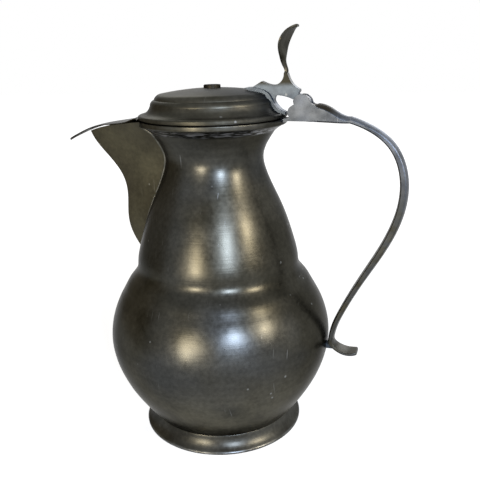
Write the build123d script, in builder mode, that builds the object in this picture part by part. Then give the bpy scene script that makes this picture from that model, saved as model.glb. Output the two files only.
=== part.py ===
from build123d import *
import os

# A lidded pitcher in cast pewter, in millimetres. X runs from the spout (-X) to the
# handle (+X) and Z is up. The origin is on the turning axis, at the level it stands on.
# Outlines turned about the axis are lists of (radius, height) from the bottom upwards,
# and outlines in the plane of the handle are lists of (x, z).

# Foot and base
FOOT_OUTLINE = [(46.2, 0), (49.0, 0), (49.4, 0.5), (49.4, 1.3), (48.9, 1.9)]
FOOT_SWELL = [(48.9, 1.9), (49.3, 5.2), (46.8, 8.2)]
FOOT_INSIDE = [(46.8, 8.2), (45.0, 9.6), (42.4, 8.0), (42.6, 4.0), (46.2, 0)]
BASE_RADIUS = 42.4
BASE_TOP = 6.0
BASE_THICKNESS = 1.8

# Bowl and neck, cast separately, turned and soldered at the waist
WALL = 2.2
BOWL_CURVE = [
    (41.6, BASE_TOP), (51.7, 19.1), (63.7, 41.0), (67.4, 60.5), (65.2, 73.7), (57.2, 90.4),
]
BEAD = [(56.3, 91.5), (55.9, 93.9), (53.4, 95.6)]
LEDGE = (50.0, 96.7)
SEAM_HEIGHT = 97.2
SEAM_RADIUS = 46.6
SEAM_INNER_RADIUS = 44.0
SHOULDER_INSIDE = (51.6, 93.4)
NECK_CORNER = (47.8, 99.0)
NECK_CURVE = [
    (48.4, 101.6), (48.4, 107.0), (46.3, 117.2), (39.0, 138.8),
    (29.8, 160.3), (28.8, 170.0), (34.6, 181.4), (40.8, 186.4),
]
NECK_FLARE = (0.85, 0.53)

# Band round the mouth
MOUTH_RADIUS = 38.2
BAND_RADIUS = 42.1
BAND_BOTTOM = 186.4
BAND_TOP = 189.7
BAND_ROUNDING = 0.9

# Spout, folded from sheet. Each level section is a V with a rounded nose:
# height, reach of the nose, reach of the seam on the neck, half-width at the seam.
SPOUT_SHEET = 1.6
SPOUT_NOSE = 1.6
CHANNEL_NOSE = 0.5
SPOUT_TUCK = 6.0
CHANNEL_TUCK = 8.0
SPOUT_LEVELS = [
    (101.0, 46.2, 43.0, 2.0), (116.0, 55.2, 46.3, 5.7), (128.0, 58.6, 42.1, 8.6),
    (142.0, 58.0, 36.4, 9.8), (154.0, 60.0, 30.5, 10.5), (166.0, 68.3, 26.2, 11.9),
    (177.0, 77.5, 26.8, 16.1), (191.0, 83.0, 34.8, 23.5),
]
SPOUT_EDGE = [
    (-20.0, 189.3), (-38.0, 189.1), (-46.8, 188.0), (-56.0, 186.7),
    (-66.0, 185.2), (-73.6, 183.5), (-79.8, 181.6), (-90.0, 178.0),
]
EDGE_CLEAR = 200.0

# Lid
LID_RADIUS = 42.6
LID_TOP = 206.6
LID_SHOULDER = [(29.5, 203.9), (31.7, 203.0), (33.0, 201.3)]
LID_BEAD = [(33.2, 200.8), (34.7, 199.8), (35.5, 197.8)]
LID_COVE = [(35.6, 197.6), (37.1, 194.9), (40.9, 192.8)]
LIP = [(40.9, 192.8), (42.0, 192.6), (LID_RADIUS, 191.9)]
LIP_BOTTOM = 190.8
SEAT_RADIUS = 40.6
SEAT_BOTTOM = 190.0
BEZEL_RADIUS = 37.2
BEZEL_BOTTOM = 187.8
LID_INSIDE = [(35.7, 192.4), (33.9, 196.6), (32.6, 199.2), (29.2, 201.8)]
LID_INSIDE_TOP = 204.6
BUTTON_RADIUS = 4.8
BUTTON_TOP = 208.3
BUTTON_ROUNDING = 0.5

# Cover over the spout: reach, half-width and top height of each station
COVER_SHEET = 1.3
COVER_CROWN = 0.05
COVER_STATIONS = [
    (35.5, 24.0, 192.6), (41.0, 21.6, 191.9), (46.8, 19.0, 190.0), (56.0, 14.8, 188.4),
    (66.0, 10.2, 187.0), (74.0, 6.9, 185.3), (82.0, 4.3, 182.6), (89.0, 2.5, 179.6),
    (94.6, 0.9, 176.8),
]

# Hinge
PIN_X = 52.5
PIN_Z = 198.0
PIN_RADIUS = 1.5
RUNNING_CLEARANCE = 0.05
HINGE_WIDTH = 9.0
SLOT_WIDTH = 5.0
TONGUE_WIDTH = 4.6
TONGUE_RADIUS = 4.3
TONGUE_ROOM = 4.8
SLOT_FLOOR = 192.8
SLOT_FRONT = 43.4
SLOT_SILL = 197.5
SLOT_END = 60.9

# Bracket between the lid and the hinge, a flat casting with an open arch
BRACKET_BROW = [(20.6, 204.6), (29.6, 209.8)]
BRACKET_SADDLE = [
    (29.6, 209.8), (32.4, 208.6), (36.2, 207.8), (39.6, 208.8), (41.6, 211.4), (42.0, 214.0),
]
BRACKET_HEEL = [(44.0, 214.0), (44.8, 211.6), (46.4, 208.8), (48.6, 206.6), (50.7, 205.4)]
BRACKET_SPUR = [
    (50.7, 205.4), (50.9, 204.4), (50.0, 203.2), (PIN_X, 202.2), (PIN_X, PIN_Z), (48.4, 199.4),
]
BRACKET_ARCH = [(48.4, 199.4), (43.2, 201.5), (37.5, 202.3)]
BRACKET_INSTEP = [(37.5, 202.3), (36.6, 199.4), (39.0, 195.6), (43.2, 193.4)]
BRACKET_SOLE = [
    (43.2, 193.4), (43.2, 192.2), (40.6, 191.8), (33.0, 198.0), (28.0, 202.0), (20.6, 204.6),
]
PAD_TOP = [(20.2, 206.5), (29.6, 205.6), (34.1, 203.0), (36.6, 198.4), (39.6, 194.9), (42.8, 193.2)]
PAD_WIDTH = 8.2

# Thumbpiece: x and z of each station's middle, its run, half-width and thickness
EDGE_SHARE = 0.44
THUMB_HOLLOW = 0.1
THUMB_STATIONS = [
    (42.95, 214.0, -0.1, 1.0, 2.3, 2.1), (42.4, 217.5, -0.2, 1.0, 2.5, 2.1),
    (41.3, 221.6, -0.15, 1.0, 5.6, 2.2), (40.8, 226.0, 0.0, 1.0, 9.4, 2.1),
    (41.2, 230.0, 0.2, 1.0, 11.4, 2.0), (42.7, 233.4, 0.55, 0.9, 11.3, 1.9),
    (45.0, 236.1, 0.8, 0.65, 9.0, 1.8), (47.4, 237.6, 0.95, 0.35, 5.4, 1.6),
    (49.4, 238.0, 0.98, 0.2, 2.6, 1.4),
]

# Handle: cheeks of the hinge, then the block behind them, the strap and the tail
CHEEK_SOLE = [
    (40.0, 189.6), (40.0, 187.0), (44.4, 188.6), (62.0, 188.4), (62.0, 195.5), (57.1, 198.4),
]
CHEEK_KNUCKLE = [(57.1, 198.4), (52.5, 202.8), (47.5, 199.3)]
CHEEK_NOTCH = [(47.5, 199.3), (47.9, 197.6), (46.3, 196.6)]
CHEEK_LOBE = [(46.3, 196.6), (44.5, 193.6), (45.4, 190.8)]
CHEEK_TOE = [(45.4, 190.8), (44.4, 190.3), (40.0, 189.6)]
# x, underside, top of the flat side, height of the crown, half-width
BLOCK_STATIONS = [
    (54.5, 188.6, 194.6, 1.6, 4.5), (60.0, 188.4, 195.9, 2.0, 4.6),
    (65.0, 188.2, 194.6, 2.6, 4.8), (71.0, 187.9, 191.2, 2.7, 4.9),
]
BLOCK_BELLY = 0.6
STRAP_HALF_WIDTH = 4.8
EDGE_ROUNDING = 0.8
STRAP_PATH = [
    (78.5, 188.7), (86.9, 185.4), (99.9, 175.9), (107.4, 156.0), (102.3, 128.4),
    (86.4, 98.8), (75.4, 77.7), (71.4, 67.7), (69.9, 60.5),
]
# Share of the strap's length, thickness of its flat side, crown, belly
STRAP_SHAPES = [
    (0, 2.1, 1.3, 0.4), (0.15, 2.4, 1.2, 0.5), (0.3, 3.0, 1.2, 0.6), (0.45, 3.1, 1.2, 0.6),
    (0.6, 2.8, 1.1, 0.6), (0.75, 2.4, 1.0, 0.5), (0.9, 2.2, 0.9, 0.5), (1, 2.0, 0.9, 0.5),
]
# x, z, run in x, run in z, half-width, side, crown, belly
TAIL_STATIONS = [
    (70.6, 57.4, 0.35, -0.94, 4.7, 2.0, 0.8, 0.4),
    (73.2, 55.0, 0.85, -0.52, 4.9, 1.6, 0.4, 0.3), (77.2, 53.1, 0.95, -0.30, 5.3, 1.5, 0.3, 0.2),
    (81.6, 52.6, 1.00, 0.06, 5.2, 1.5, 0.3, 0.2), (85.4, 53.3, 0.94, 0.34, 4.2, 1.4, 0.3, 0.2),
]
TAIL_ROUNDING = 0.4
LUG_HEIGHT = 55.6
LUG_RADIUS = 2.4
LUG_START = 64.0
LUG_END = 72.0


def inset(points, depth):
    """The same upward curve, moved by depth towards the axis and square to its run."""
    moved = []
    for below, here, above in zip(points[:1] + points, points, points[1:] + points[-1:]):
        run = (Vector(*above) - Vector(*below)).normalized()
        moved.append((here[0] - run.Y * depth, here[1] + run.X * depth))
    return moved


def station(x, z, run_x, run_z, across=1):
    """A plane square to a run in the XZ plane. Its X lies along Y, or -Y if across is -1."""
    return Plane(origin=(x, 0, z), x_dir=(0, across, 0), z_dir=(run_x, 0, run_z))


def v_section(height, nose, seam, half_width, tip, tuck):
    """A level V with a rounded nose, whose open end is tucked in behind the seam."""
    spread = (half_width - tip) / (nose - seam)
    shoulder = nose - tip / 2
    back = seam - tuck
    back_half = half_width + spread * tuck
    with BuildSketch(Plane.XY.offset(height)) as section:
        with BuildLine():
            ThreePointArc((-shoulder, -tip), (-nose, 0), (-shoulder, tip))
            Polyline((-shoulder, tip), (-back, back_half), (-back, -back_half), (-shoulder, -tip))
        make_face()
    return section.sketch


def crescent(plane, half_width, thickness, hollow):
    """A thin bent strip across a leaf, with edges raised by hollow and thinner than its middle."""
    rise = hollow + thickness * EDGE_SHARE
    low = -thickness / 2
    with BuildSketch(plane) as section:
        with BuildLine():
            under = ThreePointArc((-half_width, low + hollow), (0, low), (half_width, low + hollow))
            over = ThreePointArc((-half_width, low + rise), (0, -low), (half_width, low + rise))
            Line(under @ 0, over @ 0)
            Line(under @ 1, over @ 1)
        make_face()
    return section.sketch


def strap_section(plane, half_width, side, crown, belly, rounding):
    """A section of the handle: flat sides, a crowned back and a slightly full front."""
    low = -side / 2
    with BuildSketch(plane) as section:
        with BuildLine():
            front = ThreePointArc((-half_width, low), (0, low - belly), (half_width, low))
            back = ThreePointArc((half_width, -low), (0, crown - low), (-half_width, -low))
            Line(front @ 1, back @ 0)
            Line(back @ 1, front @ 0)
        make_face()
        fillet(section.vertices(), radius=rounding)
    return section.sketch


os.makedirs("parts", exist_ok=True)

# Full forms of the turned pieces: the shells are cut from them, and neighbours seat on them
with BuildPart() as bowl_form:
    with BuildSketch(Plane.XZ):
        with BuildLine():
            side = Spline(*BOWL_CURVE)
            Line(side @ 1, BEAD[0])
            ThreePointArc(*BEAD)
            Spline(BEAD[2], LEDGE, (SEAM_RADIUS, SEAM_HEIGHT))
            Polyline((SEAM_RADIUS, SEAM_HEIGHT), (0, SEAM_HEIGHT), (0, BASE_TOP), BOWL_CURVE[0])
        make_face()
    revolve(axis=Axis.Z)

with BuildPart() as neck_form:
    with BuildSketch(Plane.XZ):
        with BuildLine():
            corner = ThreePointArc((SEAM_RADIUS, SEAM_HEIGHT), NECK_CORNER, NECK_CURVE[0])
            Spline(*NECK_CURVE, tangents=(corner % 1, NECK_FLARE))
            Polyline(NECK_CURVE[-1], (0, BAND_BOTTOM), (0, SEAM_HEIGHT), corner @ 0)
        make_face()
    revolve(axis=Axis.Z)

with BuildPart() as band_form:
    with BuildSketch(Plane.XY.offset(BAND_BOTTOM)):
        Circle(BAND_RADIUS)
    extrude(amount=BAND_TOP - BAND_BOTTOM)

with BuildPart() as lid_form:
    with BuildSketch(Plane.XZ):
        with BuildLine():
            Polyline((0, LID_TOP), (0, LIP_BOTTOM), (LID_RADIUS, LIP_BOTTOM), LIP[2])
            ThreePointArc(*LIP)
            ThreePointArc(*LID_COVE)
            Line(LID_COVE[0], LID_BEAD[2])
            ThreePointArc(*LID_BEAD)
            Line(LID_BEAD[0], LID_SHOULDER[2])
            ThreePointArc(*LID_SHOULDER)
            TangentArc((0, LID_TOP), LID_SHOULDER[0], tangent=(1, 0))
        make_face()
    revolve(axis=Axis.Z)

# Channel inside the spout, which also opens the neck and the band behind it
channel_sections = []
for height, nose, seam, half_width in SPOUT_LEVELS[1:]:
    spread = (half_width - SPOUT_NOSE) / (nose - seam)
    trim = SPOUT_SHEET * (1 + spread**2) ** 0.5
    inner_nose = nose - (trim + CHANNEL_NOSE - SPOUT_NOSE) / spread
    channel_sections.append(
        v_section(height, inner_nose, seam, half_width - trim, CHANNEL_NOSE, CHANNEL_TUCK)
    )
with BuildPart() as channel:
    loft(channel_sections)

# Foot ring: a low rounded band with a small lip where it meets the table
with BuildPart() as foot_ring:
    with BuildSketch(Plane.XZ):
        with BuildLine():
            Polyline(*FOOT_OUTLINE)
            ThreePointArc(*FOOT_SWELL)
            Polyline(*FOOT_INSIDE)
        make_face()
    revolve(axis=Axis.Z)
    add(bowl_form.part, mode=Mode.SUBTRACT)
foot_ring.part.label = "foot_ring"
export_step(foot_ring.part, "parts/foot_ring.step")

# Base: a disc that closes the bowl from below, inside the foot
with BuildPart() as base_disc:
    with BuildSketch(Plane.XY.offset(BASE_TOP - BASE_THICKNESS)):
        Circle(BASE_RADIUS)
    extrude(amount=BASE_THICKNESS)
base_disc.part.label = "base_disc"
export_step(base_disc.part, "parts/base_disc.step")

# Bowl: the lower casting, with a bead under the seam and a ledge that the neck stands on
with BuildPart() as bowl:
    add(bowl_form.part)
    with BuildSketch(Plane.XZ):
        with BuildLine():
            inside = Spline(*inset(BOWL_CURVE, WALL))
            Spline(inside @ 1, SHOULDER_INSIDE, (SEAM_INNER_RADIUS, SEAM_HEIGHT - WALL))
            Polyline(
                (SEAM_INNER_RADIUS, SEAM_HEIGHT - WALL), (SEAM_INNER_RADIUS, SEAM_HEIGHT),
                (0, SEAM_HEIGHT), (0, BASE_TOP), ((inside @ 0).X, BASE_TOP), inside @ 0,
            )
        make_face()
    revolve(axis=Axis.Z, mode=Mode.SUBTRACT)
bowl.part.label = "bowl"
export_step(bowl.part, "parts/bowl.step")

# Neck: the upper casting, cut open behind the spout
with BuildPart() as neck:
    add(neck_form.part)
    with BuildSketch(Plane.XZ):
        with BuildLine():
            inside = Spline(*inset(NECK_CURVE, WALL)[:-1], (MOUTH_RADIUS, BAND_BOTTOM))
            Polyline(
                inside @ 1, (0, BAND_BOTTOM), (0, SEAM_HEIGHT),
                (SEAM_INNER_RADIUS, SEAM_HEIGHT), inside @ 0,
            )
        make_face()
    revolve(axis=Axis.Z, mode=Mode.SUBTRACT)
    add(channel.part, mode=Mode.SUBTRACT)
neck.part.label = "neck"
export_step(neck.part, "parts/neck.step")

# Band: a rounded ring that stiffens the mouth and stops at the sides of the spout
with BuildPart() as rim_band:
    add(band_form.part)
    fillet(rim_band.edges().filter_by(GeomType.CIRCLE), radius=BAND_ROUNDING)
    with BuildSketch(Plane.XY.offset(BAND_BOTTOM)):
        Circle(MOUTH_RADIUS)
    extrude(amount=BAND_TOP - BAND_BOTTOM, mode=Mode.SUBTRACT)
    add(channel.part, mode=Mode.SUBTRACT)
rim_band.part.label = "rim_band"
export_step(rim_band.part, "parts/rim_band.step")

# Spout: a keeled beak of folded sheet, soldered to the outside of the neck
with BuildPart() as spout:
    loft([v_section(*level, SPOUT_NOSE, SPOUT_TUCK) for level in SPOUT_LEVELS])
    add(channel.part, mode=Mode.SUBTRACT)
    add(neck_form.part, mode=Mode.SUBTRACT)
    add(bowl_form.part, mode=Mode.SUBTRACT)
    add(band_form.part, mode=Mode.SUBTRACT)
    with BuildSketch(Plane.XZ):
        with BuildLine():
            lip_line = Spline(*SPOUT_EDGE)
            Polyline(
                lip_line @ 1, ((lip_line @ 1).X, EDGE_CLEAR),
                ((lip_line @ 0).X, EDGE_CLEAR), lip_line @ 0,
            )
        make_face()
    extrude(amount=LID_RADIUS, both=True, mode=Mode.SUBTRACT)
spout.part.label = "spout"
export_step(spout.part, "parts/spout.step")

# Lid: a low stepped dome with an overhanging lip, a flat seat and a bezel inside the mouth
with BuildPart() as lid:
    add(lid_form.part)
    with BuildSketch(Plane.XY.offset(SEAT_BOTTOM)):
        Circle(SEAT_RADIUS)
    extrude(amount=LIP_BOTTOM - SEAT_BOTTOM)
    with BuildSketch(Plane.XY.offset(BEZEL_BOTTOM)):
        Circle(BEZEL_RADIUS)
    extrude(amount=SEAT_BOTTOM - BEZEL_BOTTOM)
    with BuildSketch(Plane.XZ):
        with BuildLine():
            Polyline(
                (0, LID_INSIDE_TOP), (0, BEZEL_BOTTOM),
                (LID_INSIDE[0][0], BEZEL_BOTTOM), LID_INSIDE[0],
            )
            Spline(*LID_INSIDE)
            TangentArc((0, LID_INSIDE_TOP), LID_INSIDE[-1], tangent=(1, 0))
        make_face()
    revolve(axis=Axis.Z, mode=Mode.SUBTRACT)
lid.part.label = "lid"
export_step(lid.part, "parts/lid.step")

# Button at the middle of the lid, where the casting was held for turning
with BuildPart() as lid_button:
    with BuildSketch(Plane.XY.offset(LID_TOP - COVER_SHEET)):
        Circle(BUTTON_RADIUS)
    extrude(amount=BUTTON_TOP - LID_TOP + COVER_SHEET)
    fillet(lid_button.edges().group_by(Axis.Z)[-1], radius=BUTTON_ROUNDING)
    add(lid_form.part, mode=Mode.SUBTRACT)
lid_button.part.label = "lid_button"
export_step(lid_button.part, "parts/lid_button.step")

# Cover: a drooping pointed leaf that shuts the spout and lifts with the lid
with BuildPart() as spout_cover:
    loft([
        crescent(
            station(-reach, top - COVER_SHEET / 2, -1, 0),
            half_width, COVER_SHEET, half_width * COVER_CROWN,
        )
        for reach, half_width, top in COVER_STATIONS
    ])
    with BuildSketch(Plane.XY.offset(BAND_BOTTOM)):
        Circle(LID_RADIUS)
    extrude(amount=LID_TOP - BAND_BOTTOM, mode=Mode.SUBTRACT)
spout_cover.part.label = "spout_cover"
export_step(spout_cover.part, "parts/spout_cover.step")

# Bracket: a flat casting that rides on the lid, arches over its edge and ends in the tongue
with BuildPart() as lid_bracket:
    with BuildSketch(Plane.XZ):
        with BuildLine():
            Line(*BRACKET_BROW)
            Spline(*BRACKET_SADDLE)
            Line(BRACKET_SADDLE[-1], BRACKET_HEEL[0])
            Spline(*BRACKET_HEEL)
            Polyline(*BRACKET_SPUR)
            ThreePointArc(*BRACKET_ARCH)
            Spline(*BRACKET_INSTEP)
            Polyline(*BRACKET_SOLE)
        make_face()
        with Locations((PIN_X, PIN_Z)):
            Circle(TONGUE_RADIUS)
            Circle(PIN_RADIUS + RUNNING_CLEARANCE, mode=Mode.SUBTRACT)
    extrude(amount=TONGUE_WIDTH / 2, both=True)
    with BuildSketch(Plane.XZ):
        with BuildLine():
            pad_top = Spline(*PAD_TOP)
            Polyline(pad_top @ 1, *BRACKET_SOLE[1:-1], pad_top @ 0)
        make_face()
    extrude(amount=PAD_WIDTH / 2, both=True)
    add(lid_form.part, mode=Mode.SUBTRACT)
lid_bracket.part.label = "lid_bracket"
export_step(lid_bracket.part, "parts/lid_bracket.step")

# Thumbpiece: a spoon-shaped leaf on a slim stem, hollow towards the thumb
with BuildPart() as thumbpiece:
    loft([
        crescent(
            station(x, z, run_x, run_z, across=-1),
            half_width, thickness, half_width * THUMB_HOLLOW,
        )
        for x, z, run_x, run_z, half_width, thickness in THUMB_STATIONS
    ])
thumbpiece.part.label = "thumbpiece"
export_step(thumbpiece.part, "parts/thumbpiece.step")

# Handle: two hinge cheeks, a block that tapers into the strap, and a curled tail
block_sections = [
    strap_section(
        station(x, (under + side_top) / 2, 1, 0),
        half_width, side_top - under, crown, BLOCK_BELLY, EDGE_ROUNDING,
    )
    for x, under, side_top, crown, half_width in BLOCK_STATIONS
]
with BuildLine(Plane.XZ) as strap_line:
    strap_run = Spline(*STRAP_PATH)
strap_sections = [
    strap_section(
        Plane(origin=strap_run @ share, x_dir=(0, 1, 0), z_dir=strap_run % share),
        STRAP_HALF_WIDTH, side, crown, belly, EDGE_ROUNDING,
    )
    for share, side, crown, belly in STRAP_SHAPES
]
tail_sections = [
    strap_section(station(*place), half_width, side, crown, belly, TAIL_ROUNDING)
    for *place, half_width, side, crown, belly in TAIL_STATIONS
]
with BuildPart() as handle:
    with BuildSketch(Plane.XZ):
        with BuildLine():
            Polyline(*CHEEK_SOLE)
            ThreePointArc(*CHEEK_KNUCKLE)
            Polyline(*CHEEK_NOTCH)
            ThreePointArc(*CHEEK_LOBE)
            Polyline(*CHEEK_TOE)
        make_face()
    extrude(amount=HINGE_WIDTH / 2, both=True)
    loft(block_sections + strap_sections[:1])
    sweep(strap_sections, path=strap_line.line, multisection=True)
    loft(strap_sections[-1:] + tail_sections)
    with BuildSketch(Plane.XZ):
        with Locations((PIN_X, PIN_Z)):
            Circle(TONGUE_ROOM)
        with Locations((SLOT_FRONT, SLOT_FLOOR)):
            Rectangle(PIN_X - SLOT_FRONT, LID_TOP - SLOT_FLOOR, align=(Align.MIN, Align.MIN))
        with Locations((PIN_X, SLOT_SILL)):
            Rectangle(SLOT_END - PIN_X, LID_TOP - SLOT_SILL, align=(Align.MIN, Align.MIN))
    extrude(amount=SLOT_WIDTH / 2, both=True, mode=Mode.SUBTRACT)
    with BuildSketch(Plane.XZ):
        with Locations((PIN_X, PIN_Z)):
            Circle(PIN_RADIUS)
    extrude(amount=HINGE_WIDTH, both=True, mode=Mode.SUBTRACT)
    add(band_form.part, mode=Mode.SUBTRACT)
    add(neck_form.part, mode=Mode.SUBTRACT)
handle.part.label = "handle"
export_step(handle.part, "parts/handle.step")

# Hinge pin: driven through both cheeks and dressed flush
with BuildPart() as hinge_pin:
    with BuildSketch(Plane.XZ):
        with Locations((PIN_X, PIN_Z)):
            Circle(PIN_RADIUS)
    extrude(amount=HINGE_WIDTH / 2, both=True)
hinge_pin.part.label = "hinge_pin"
export_step(hinge_pin.part, "parts/hinge_pin.step")

# Lug: the short stub that joins the foot of the handle to the bowl
with BuildPart() as handle_lug:
    with BuildSketch(Plane.YZ.offset(LUG_START)):
        with Locations((0, LUG_HEIGHT)):
            Circle(LUG_RADIUS)
    extrude(amount=LUG_END - LUG_START)
    add(bowl_form.part, mode=Mode.SUBTRACT)
    add(handle.part, mode=Mode.SUBTRACT)
handle_lug.part.label = "handle_lug"
export_step(handle_lug.part, "parts/handle_lug.step")
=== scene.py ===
# %% [markdown]
# # A hinged pewter pitcher
# The object is an old jug of cast pewter, turned on a lathe and soldered together.
# Its solid parts were made in a CAD program and come in as a fixed frame.
# Blender gives them their worn metal, the small forms that a lathe and a soldering iron leave,
# and the light of a plain studio. Lengths here are in metres, and MM turns millimetres into them.

# %% Load the solid parts
import math

import bmesh
import bpy
from mathutils import Matrix, Vector


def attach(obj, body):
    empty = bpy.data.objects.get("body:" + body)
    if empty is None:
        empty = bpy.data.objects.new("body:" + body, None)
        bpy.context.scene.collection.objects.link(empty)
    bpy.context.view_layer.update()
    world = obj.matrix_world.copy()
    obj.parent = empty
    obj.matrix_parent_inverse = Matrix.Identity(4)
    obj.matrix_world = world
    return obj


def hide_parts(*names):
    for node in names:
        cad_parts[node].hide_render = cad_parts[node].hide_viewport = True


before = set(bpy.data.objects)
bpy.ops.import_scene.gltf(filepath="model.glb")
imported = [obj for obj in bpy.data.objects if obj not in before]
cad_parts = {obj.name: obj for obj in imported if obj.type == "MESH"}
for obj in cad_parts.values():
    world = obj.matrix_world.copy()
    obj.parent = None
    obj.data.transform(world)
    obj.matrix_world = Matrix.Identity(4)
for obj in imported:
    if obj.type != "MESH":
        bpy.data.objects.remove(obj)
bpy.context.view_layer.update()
MM = 0.001
print("nodes:", sorted(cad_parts))

# %% [markdown]
# ## Colours and nodes
# A picture editor writes a colour as an sRGB hex value, and a renderer adds up linear light. One
# function turns the first into the second, so that the colours below can be read and matched by eye.
# Worn metal takes dozens of nodes. Each could be added, set and linked in a call of its own for every
# socket. A second function does all of it at once, so a pattern reads as a short list.


# %% Colour and node helpers
def linear(hex_code):
    """An sRGB hex colour as linear RGBA."""
    parts = [int(hex_code[i:i + 2], 16) / 255 for i in (0, 2, 4)]
    return [c / 12.92 if c <= 0.04045 else ((c + 0.055) / 1.055) ** 2.4 for c in parts] + [1.0]


def add_node(tree, kind, settings=None, values=None, links=None):
    """Adds a node, sets its properties and socket values, and links its inputs."""
    node = tree.nodes.new(kind)
    for name, value in (settings or {}).items():
        setattr(node, name, value)
    for name, value in (values or {}).items():
        node.inputs[name].default_value = value
    for name, source in (links or {}).items():
        tree.links.new(source, node.inputs[name])
    return node


def empty_tree(owner):
    """The node tree of a new material or world, with no nodes in it."""
    owner.use_nodes = True
    owner.node_tree.nodes.clear()
    return owner.node_tree


SOFT = {"interpolation_type": "SMOOTHSTEP"}
COLOURS = {"data_type": "RGBA"}
TIMES, MINUS, DIVIDED, LARGER, UNIT = (
    {"operation": kind} for kind in ("MULTIPLY", "SUBTRACT", "DIVIDE", "MAXIMUM", "NORMALIZE"))
print("hex 3d3f3a in linear light:", [round(c, 3) for c in linear("3d3f3a")])

# %% [markdown]
# ## Where the patterns lie
# Old pewter is tin with a little lead. In the air it grows a dark grey skin, which is thin enough to
# keep the shine of the metal under it. So each finish is one Principled shader, fully metallic and
# dark, with patterns that change its colour, roughness and bump a little.
# A pattern could be painted on the unwrapped surface. These are worked out from Object coordinates,
# which are metres from the middle of the foot, so their marks have a real size and run on across seams.
# Lathe marks follow the height and the distance from the lathe's axis, so both are measured here.


# %% Measure a place on the jug
def jug_places(tree):
    """A point on the jug, its x, its height, its distance from the axis, and the last two as a point."""
    spot = add_node(tree, "ShaderNodeTexCoord").outputs["Object"]
    split = add_node(tree, "ShaderNodeSeparateXYZ", links={"Vector": spot}).outputs
    x_square = add_node(tree, "ShaderNodeMath", {"operation": "POWER"}, {1: 2.0},
                        {0: split["X"]}).outputs[0]
    radius_square = add_node(tree, "ShaderNodeMath", {"operation": "MULTIPLY_ADD"},
                             links={0: split["Y"], 1: split["Y"], 2: x_square}).outputs[0]
    radius = add_node(tree, "ShaderNodeMath", {"operation": "SQRT"}, links={0: radius_square}).outputs[0]
    ring_spot = add_node(tree, "ShaderNodeCombineXYZ", links={"X": radius, "Z": split["Z"]}).outputs[0]
    return {"spot": spot, "x": split["X"], "height": split["Z"], "radius": radius,
            "ring_spot": ring_spot}


print("one millimetre in Object coordinates:", MM)

# %% [markdown]
# ## Clouds in the skin
# The skin is thicker in some places than in others, so the metal looks clouded, in soft blotches with
# a fine grain over them. A photo of metal could show that, but it would repeat, and stretch on a round
# body. Noise does neither, so two sizes of it are used. The blotches mix the skin's two tones, and
# blotches and grain together decide how smooth or dull a place is.

# %% Blotches and grain
GRAIN_MM = 2.2
BLOTCH_SHARE, GRAIN_SHARE = 0.6, 0.45


def skin_clouds(tree, spot, blotch_mm):
    """Blotches and grain as plain noise, and the share of the lighter tone that the blotches give."""
    blotch = add_node(tree, "ShaderNodeTexNoise",
                      values={"Scale": 1 / (blotch_mm * MM), "Detail": 4.0, "Roughness": 0.55},
                      links={"Vector": spot}).outputs["Fac"]
    grain = add_node(tree, "ShaderNodeTexNoise", values={"Scale": 1 / (GRAIN_MM * MM), "Detail": 3.0},
                     links={"Vector": spot}).outputs["Fac"]
    lighter = add_node(tree, "ShaderNodeMapRange", values={"From Min": 0.36, "From Max": 0.66},
                       links={"Value": blotch}).outputs["Result"]
    return blotch, grain, lighter


def skin_roughness(tree, blotch, grain, smoothest, dullest):
    """Roughness between two limits, led by the blotches and broken up by the grain."""
    cloudy = add_node(tree, "ShaderNodeMath", TIMES, {1: BLOTCH_SHARE}, {0: blotch}).outputs[0]
    mixed = add_node(tree, "ShaderNodeMath", {"operation": "MULTIPLY_ADD"}, {1: GRAIN_SHARE},
                     {0: grain, 2: cloudy}).outputs[0]
    return add_node(tree, "ShaderNodeMapRange",
                    values={"From Min": 0.34, "From Max": 0.7, "To Min": smoothest, "To Max": dullest},
                    links={"Value": mixed}).outputs["Result"]


print("grain scale per metre:", round(1 / (GRAIN_MM * MM)))

# %% [markdown]
# ## Scratches and specks
# Use leaves short, fine scratches that run every way, and small pits and chips, and brighter metal
# shows in both. They could be cut into the mesh, but they are as thin as a hair. So noise is stretched
# along three directions, and only its highest ridges are kept as scratches. A Voronoi pattern parts the
# surface into cells, and some cells get one small round speck. Real scratches are about a tenth of a
# millimetre wide. These are drawn a few times wider, or they wouldn't show in the picture.

# %% Scratch and speck patterns
SCRATCH_MM, SPECK_MM = 15.0, 9.0
# A turn in radians, and how many times the noise is squeezed across the scratch.
SCRATCH_WAYS = ((0.5, 16.0), (2.1, 22.0), (1.25, 30.0))
# How much of that turn goes round X, Y and Z.
TURN_SHARES = (1.0, 0.7, 1.6)
SCRATCH_RIDGE = (0.785, 0.83)
SPECK_EDGE = (0.10, 0.05)
BARE_CELLS = 0.62


def scratch_lines(tree, spot):
    """Thin ridges of stretched noise, in three directions."""
    lines = None
    for turn, stretch in SCRATCH_WAYS:
        lie = add_node(tree, "ShaderNodeMapping",
                       values={"Rotation": [turn * share for share in TURN_SHARES],
                               "Scale": (stretch, 1.0, 1.0)}, links={"Vector": spot}).outputs[0]
        noise = add_node(tree, "ShaderNodeTexNoise",
                         values={"Scale": 1 / (SCRATCH_MM * MM), "Detail": 1.0},
                         links={"Vector": lie}).outputs["Fac"]
        ridge = add_node(tree, "ShaderNodeMapRange",
                         values={"From Min": SCRATCH_RIDGE[0], "From Max": SCRATCH_RIDGE[1]},
                         links={"Value": noise}).outputs["Result"]
        lines = ridge if lines is None else add_node(
            tree, "ShaderNodeMath", LARGER, links={0: lines, 1: ridge}).outputs[0]
    return lines


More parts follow.
